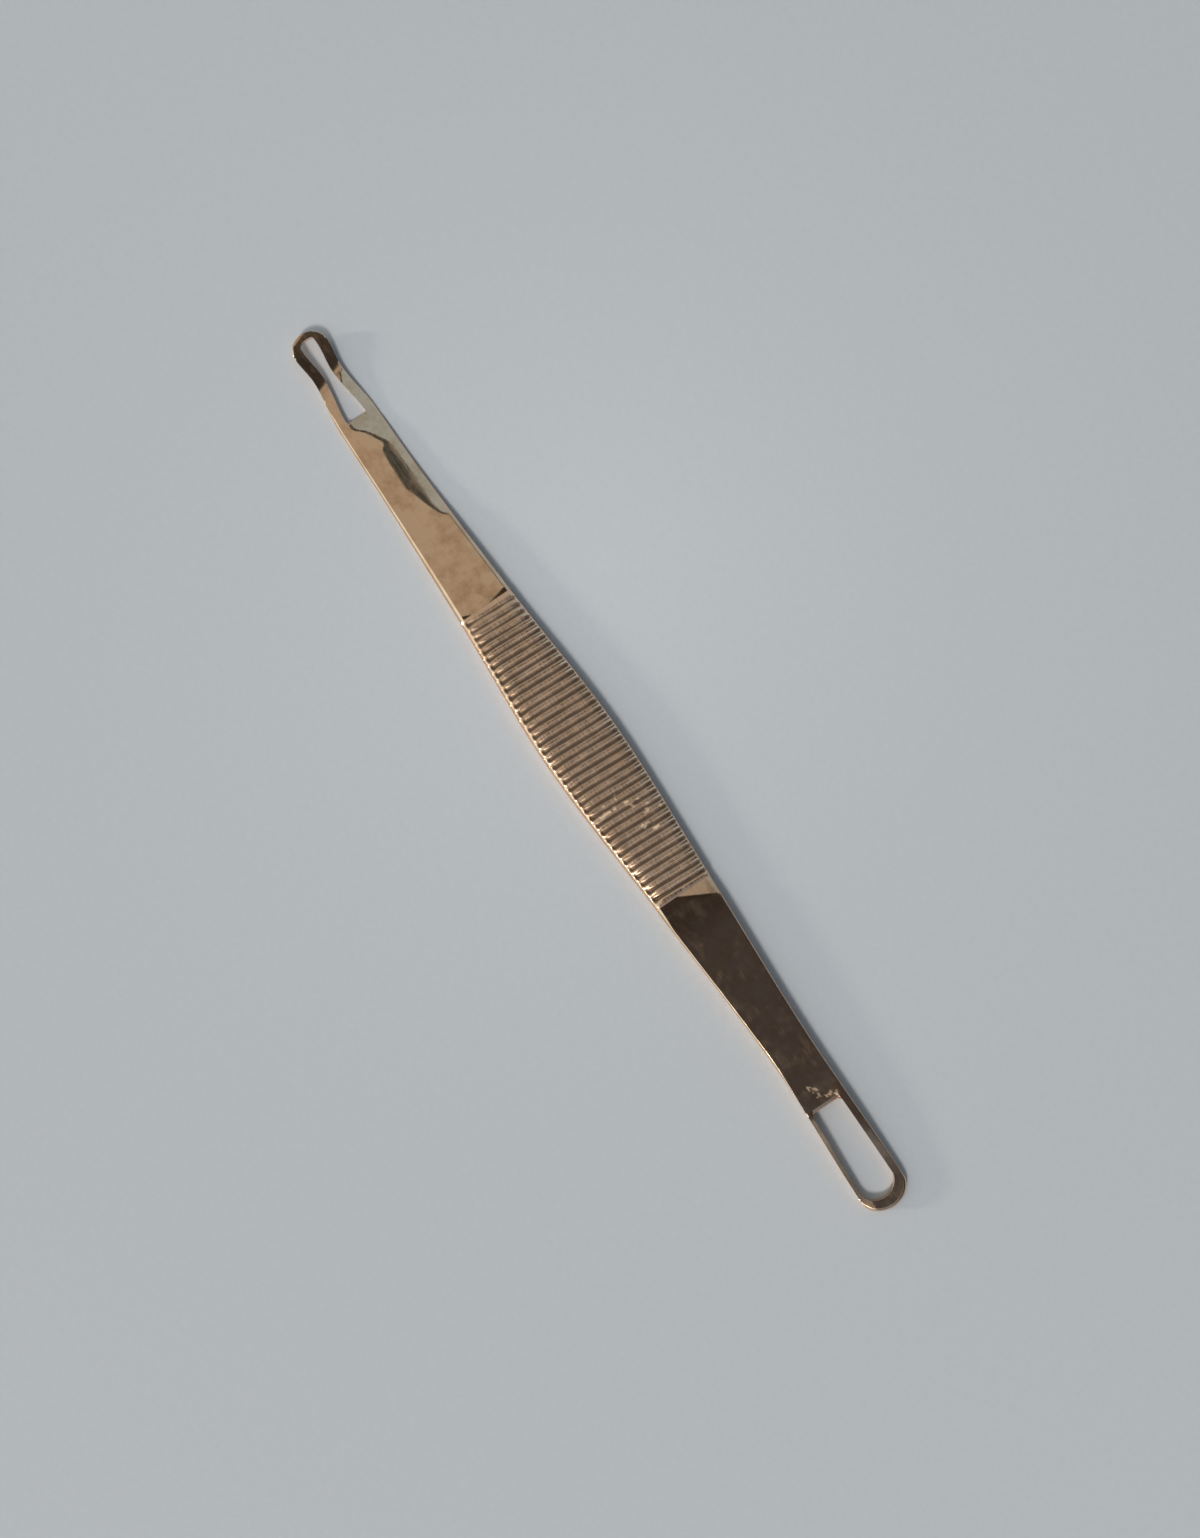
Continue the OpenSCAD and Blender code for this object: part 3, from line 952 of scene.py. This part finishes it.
LAMP_DISTANCE = 2.5
# Each lamp's direction round the tool and height above the horizon, its share of the floor's light,
# the angles that it fills across and up seen from the tool, and its colour. The second is a far,
# low window.
LAMPS = (
    ("key_lamp", -54, 52, 0.45, 4, 16, "#FFFAF4"),
    ("low_window", -122, 11, 0.1, 5, 5, "#FFF4E4"),
)


def lamps(look):
    """Soft lamps, each as strong as its share of the floor's light."""
    for name, azimuth, elevation, part, across, high, hex_colour in LAMPS:
        up = sin(radians(elevation))
        level = cos(radians(elevation))
        data = bpy.data.lights.new(name, "AREA")
        data.shape = "ELLIPSE"
        data.size = 2 * LAMP_DISTANCE * tan(radians(across / 2))
        data.size_y = 2 * LAMP_DISTANCE * tan(radians(high / 2))
        data.energy = look.lamp_share * part * pi ** 2 * LAMP_DISTANCE ** 2 / up
        data.color = linear_rgb(hex_colour)
        towards = Vector((level * cos(radians(azimuth)), level * sin(radians(azimuth)), up))
        body = bpy.data.objects.new(name, data)
        body.location = towards * LAMP_DISTANCE
        body.rotation_euler = (-towards).to_track_quat("-Z", "Y").to_euler()
        bpy.context.scene.collection.objects.link(body)


def camera(look, strip):
    """A camera straight over the tool, framed so that both tips fall where the photograph has them."""
    tall = look.camera_height
    # Each tip is seen at the height of its outermost edge
    narrow_z = strip.lift(0.0, 0.0) + strip.thickness(0.0) / 2
    wide_z = strip.thickness(strip.length) / 2
    along_px = Vector(WIDE_TIP_PX) - Vector(NARROW_TIP_PX)
    along = along_px.normalized()
    side = Vector((along.y, -along.x))
    centre_px = Vector((PHOTO_W / 2, PHOTO_H / 2))
    narrow_px = (Vector(NARROW_TIP_PX) - centre_px) * (1 - narrow_z / tall)
    wide_px = (Vector(WIDE_TIP_PX) - centre_px) * (1 - wide_z / tall)
    per_px = strip.length / (wide_px - narrow_px).dot(along)
    centre_x = CAD_BOX[0].x - per_px * narrow_px.dot(along)
    centre_y = -per_px * narrow_px.dot(side)
    data = bpy.data.cameras.new("camera")
    data.lens = data.sensor_width * tall / (PHOTO_H * per_px)
    data.clip_start = 5 * MM
    eye = bpy.data.objects.new("camera", data)
    eye.location = (centre_x, centre_y, tall)
    eye.rotation_euler = (0.0, 0.0, atan2(along.y, along.x))
    bpy.context.scene.collection.objects.link(eye)
    bpy.context.scene.camera = eye


def settings():
    """The property groups of sizes, as the operators read them."""
    scene = bpy.context.scene
    return scene.extractor_sizes, scene.extractor_loops, scene.extractor_ribs


class EXTRACTOR_OT_stage(bpy.types.Operator):
    """Camera, floor and light"""

    bl_idname = "extractor.stage"
    bl_label = "Stage"

    def execute(self, context):
        look = context.scene.extractor_stage
        sizes, loops, ribs = settings()
        camera(look, Strip(sizes, loops))
        surroundings(look)
        lamps(look)
        bm = bmesh.new()
        bmesh.ops.create_grid(bm, x_segments=1, y_segments=1, size=FLOOR_HALF)
        mesh = bpy.data.meshes.new("floor")
        bm.to_mesh(mesh)
        bm.free()
        mesh.materials.append(sheet_floor(look))
        floor = bpy.data.objects.new("floor", mesh)
        context.scene.collection.objects.link(floor)
        context.scene.view_settings.view_transform = "Standard"
        return {"FINISHED"}


# How far the left and right corners of each slot's rounded end are squared up
NARROW_SLOT_POWERS = (0.45, 0.8)
WIDE_SLOT_POWERS = (1.15, 1.0)
# Room for a rolled root edge before the next ring, as a multiple of its width
ROOT_ROOM = 1.2


class EXTRACTOR_OT_narrow_loop(bpy.types.Operator):
    """Narrow waisted loop, bent up a little at its tip"""

    bl_idname = "extractor.narrow_loop"
    bl_label = "Narrow loop"

    def execute(self, context):
        sizes, loops, ribs = settings()
        strip = Strip(sizes, loops)
        rings = loop_rings(
            strip, loops, strip.narrow_root, 0.0, loops.narrow_rail_w, loops.narrow_rail_w,
            loops.narrow_tip_reach, loops.narrow_bar_w, loops.narrow_slot_round,
            NARROW_SLOT_POWERS,
        )
        bm = rolled_skin(rings, "narrow_loop", polished_shape(strip))
        place_polished(context, bm, "narrow_loop")
        return {"FINISHED"}


class EXTRACTOR_OT_narrow_shank(bpy.types.Operator):
    """Plain shank between the narrow loop and the grip"""

    bl_idname = "extractor.narrow_shank"
    bl_label = "Narrow shank"

    def execute(self, context):
        sizes, loops, ribs = settings()
        strip = Strip(sizes, loops)
        root = strip.narrow_root
        after_root = root + loops.narrow_root_edge * ROOT_ROOM
        places = [root] + even_places(after_root, strip.grip_start, FINE_RING_GAP)
        rings = [full_ring(strip, at, NARROW_CUTS) for at in places]
        bm = rolled_skin(rings, "narrow_shank", polished_shape(strip))
        slot_half = strip.half_width(root) - loops.narrow_rail_w - loops.slot_corner_r / 2
        middle = strip.middle(root)
        roll_root_edge(
            bm, root + strip.start, middle + slot_half, middle - slot_half,
            loops.narrow_root_edge,
        )
        place_polished(context, bm, "narrow_shank")
        return {"FINISHED"}


# Where the stamp put some of the grooves, as (number, distance): the first few lie closer together
GROOVE_PLACES_MM = ((0, 31.78), (1, 32.6), (4, 34.83), (15, 44.15), (36, 62.3), (37, 63.24))
GROOVE_AT = smooth_curve([(number, at * MM) for number, at in GROOVE_PLACES_MM])
# How far a groove's line wanders, and its depth at the first ribs
WANDER = 0.03 * MM
FIRST_DEPTH = 0.75


def groove_share(strip, ribs, at, y, straight_at, number):
    """Share of its depth that a groove reaches at a point, from 0 to 1."""
    reached = 0.0
    guess = round((straight_at - GROOVE_AT(0)) / ribs.pitch)
    right_end = strip.middle(at) - strip.half_width(at) + ribs.land
    flare = 1 - fade(y, right_end, right_end + ribs.flare_len)
    for k in range(max(guess - 1, 0), min(guess + 2, number)):
        wander = noise.noise(Vector((0.0, y / (2.5 * MM), k * 3.7)))
        half = ribs.groove_w / 2 * (1 + 0.9 * flare) * (1 + 0.25 * noise.noise(
            Vector((k * 1.3, y / (1.1 * MM), 7.0))
        ))
        away = abs(straight_at - GROOVE_AT(k) - WANDER * wander) / half
        worn = 1 + 0.3 * noise.noise(Vector((k * 2.1, y / (1.7 * MM), 3.0)))
        worn *= FIRST_DEPTH + (1 - FIRST_DEPTH) * fade(k, 0, 5)
        reached = max(reached, worn * max(0.0, 1 - away * away) ** 2)
    return reached * fade(y, right_end - 0.1 * MM, right_end + 0.2 * MM)


def tool_line(strip, ribs, y, straight_at):
    """Share of the fine second groove that the stamp left along the middle of each rib."""
    guess = round((straight_at - GROOVE_AT(0)) / ribs.pitch - 0.5)
    reached = 0.0
    for k in (guess - 1, guess, guess + 1):
        middle = (GROOVE_AT(k) + GROOVE_AT(k + 1)) / 2
        worn = 1 + 0.7 * noise.noise(Vector((k * 1.7, y / (1.5 * MM), 5.0)))
        away = (straight_at - middle) / (ribs.line_w / 2)
        worn *= fade(k, 0, 4)
        reached = max(reached, worn * max(0.0, 1 - away * away) ** 2)
    return reached


# Distances from the wide end of the grip between which the crown widens on the right
CROWN_GROWS = (9 * MM, 3 * MM)
# Lengths over which the crown starts and ends
CROWN_STARTS = 2 * MM
CROWN_ENDS = 0.6 * MM


def crown(strip, ribs, at, y):
    """Drop of the ribbed face where it rolls towards its long edges.

    On the right the roll reaches further in towards the wide end.
    """
    side = y - strip.middle(at)
    inward = strip.half_width(at) - strip.sizes.edge_r - abs(side)
    reach = ribs.crown_len
    if side < 0:
        first, last = (strip.grip_end - away for away in CROWN_GROWS)
        reach += ribs.crown_growth * fade(at, first, last)
    t = 1 - min(max(inward / reach, 0.0), 1.0)
    ends = fade(at, strip.grip_start, strip.grip_start + CROWN_STARTS)
    ends *= 1 - fade(at, strip.grip_end - CROWN_ENDS, strip.grip_end)
    return tan(ribs.crown_tilt) * reach * t ** 3 / 3 * ends


RINGS_A_PITCH = 14
# Lengths over which the ribbed face comes up out of the shanks
START_RAMP = 0.45 * MM
END_RAMP = 0.2 * MM
# The ribs' tops are darkened too: how much, from which distance from the edge, and along the strip
TOP_DARKENING = 0.12
TOP_DARKENING_EDGE = (0.25 * MM, 0.9 * MM)
TOP_DARKENING_STARTS = (33 * MM, 43 * MM)
TOP_DARKENING_ENDS = (54 * MM, 62 * MM)


class EXTRACTOR_OT_ribbed_grip(bpy.types.Operator):
    """Finger grip with ribs stamped across both faces"""

    bl_idname = "extractor.ribbed_grip"
    bl_label = "Ribbed grip"

    def execute(self, context):
        sizes, loops, ribs = settings()
        strip = Strip(sizes, loops)
        grip_len = strip.grip_end - strip.grip_start
        number = int((grip_len - 2 * ribs.margin) / ribs.pitch) + 1
        slant = tan(ribs.skew)
        rings = []
        for at in even_places(strip.grip_start, strip.grip_end, ribs.pitch / RINGS_A_PITCH):
            inside = fade(at, strip.grip_start, strip.grip_start + ribs.margin)
            inside *= 1 - fade(at, strip.grip_end - ribs.margin, strip.grip_end)
            rings.append(full_ring(strip, at, GRIP_CUTS, slant * inside))

        def shape(at, y, up, height):
            straight_at = at - slant * (y - strip.middle(at))
            depth = ribs.groove_depth * groove_share(strip, ribs, at, y, straight_at, number)
            # The underside's grooves get painted shade by their depth
            if up < height / 2:
                return max(up, depth), depth / ribs.groove_depth
            edge = strip.half_width(at) - abs(y - strip.middle(at))
            darkened = TOP_DARKENING * fade(edge, *TOP_DARKENING_EDGE)
            darkened *= fade(at, *TOP_DARKENING_STARTS) * (1 - fade(at, *TOP_DARKENING_ENDS))
            ramp = 1 - fade(at, strip.grip_start, strip.grip_start + START_RAMP)
            ramp += fade(at, strip.grip_end - END_RAMP, strip.grip_end)
            drop = sizes.shank_step * ramp + crown(strip, ribs, at, y)
            if at < strip.grip_middle:
                drop += ramp * dips(strip.grip_start, y, strip.grip_start)
            drop += ribs.line_depth * tool_line(strip, ribs, y, straight_at)
            plain = up - drop * up / height
            z = min(plain, height - drop - depth)
            # Painted shade in the grooves, by their depth, over the darkened rib tops
            return z, darkened + (1 - darkened) * (plain - z) / ribs.groove_depth

        bm = rolled_skin(rings, "ribbed_grip", shape)
        material = ribbed_plating(context.scene.extractor_plating)
        place_piece(bm, "ribbed_grip", material)
        return {"FINISHED"}


class EXTRACTOR_OT_wide_shank(bpy.types.Operator):
    """Plain shank between the grip and the wide loop"""

    bl_idname = "extractor.wide_shank"
    bl_label = "Wide shank"

    def execute(self, context):
        sizes, loops, ribs = settings()
        strip = Strip(sizes, loops)
        root = strip.wide_root
        before_root = root - loops.wide_root_edge * ROOT_ROOM
        places = even_places(strip.grip_end, before_root, RING_GAP) + [root]
        rings = [full_ring(strip, at, WIDE_CUTS) for at in places]
        bm = rolled_skin(rings, "wide_shank", polished_shape(strip))
        half = strip.half_width(root)
        middle = strip.middle(root)
        inset = loops.slot_corner_r / 2
        roll_root_edge(
            bm, root + strip.start, middle + half - loops.wide_left_w - inset,
            middle - half + loops.wide_right_w + inset, loops.wide_root_edge,
        )
        place_polished(context, bm, "wide_shank")
        return {"FINISHED"}


class EXTRACTOR_OT_wide_loop(bpy.types.Operator):
    """Wide loop with uneven rails and a heavy tip"""

    bl_idname = "extractor.wide_loop"
    bl_label = "Wide loop"

    def execute(self, context):
        sizes, loops, ribs = settings()
        strip = Strip(sizes, loops)
        rings = loop_rings(
            strip, loops, strip.wide_root, strip.length, loops.wide_left_w, loops.wide_right_w,
            loops.wide_tip_reach, loops.wide_bar_w, loops.wide_slot_round, WIDE_SLOT_POWERS,
        )
        bm = rolled_skin(rings, "wide_loop", polished_shape(strip))
        place_polished(context, bm, "wide_loop")
        return {"FINISHED"}


PIECES = (
    EXTRACTOR_OT_narrow_loop,
    EXTRACTOR_OT_narrow_shank,
    EXTRACTOR_OT_ribbed_grip,
    EXTRACTOR_OT_wide_shank,
    EXTRACTOR_OT_wide_loop,
)


class EXTRACTOR_PT_panel(bpy.types.Panel):
    """Lists the stage and the pieces, with the sizes and colours behind them"""

    bl_idname = "EXTRACTOR_PT_panel"
    bl_label = "Blackhead extractor"
    bl_space_type = "VIEW_3D"
    bl_region_type = "UI"
    bl_category = "Extractor"

    def draw(self, context):
        layout = self.layout
        for operator in (EXTRACTOR_OT_stage, *PIECES):
            layout.operator(operator.bl_idname)
        for name, group in GROUPS.items():
            box = layout.box()
            for size in group.__annotations__:
                box.prop(getattr(context.scene, name), size)


GROUPS = {
    "extractor_sizes": StripSizes,
    "extractor_loops": LoopSizes,
    "extractor_ribs": RibSizes,
    "extractor_plating": PlatingLook,
    "extractor_stage": StageLook,
}
CLASSES = (*GROUPS.values(), EXTRACTOR_OT_stage, *PIECES, EXTRACTOR_PT_panel)


def register():
    for item in CLASSES:
        bpy.utils.register_class(item)
    for name, group in GROUPS.items():
        setattr(bpy.types.Scene, name, bpy.props.PointerProperty(type=group))


def unregister():
    for name in GROUPS:
        delattr(bpy.types.Scene, name)
    for item in reversed(CLASSES):
        bpy.utils.unregister_class(item)


def main():
    register()
    bpy.ops.extractor.stage()
    bpy.ops.extractor.narrow_loop()
    bpy.ops.extractor.narrow_shank()
    bpy.ops.extractor.ribbed_grip()
    bpy.ops.extractor.wide_shank()
    bpy.ops.extractor.wide_loop()


if __name__ == "__main__":
    main()
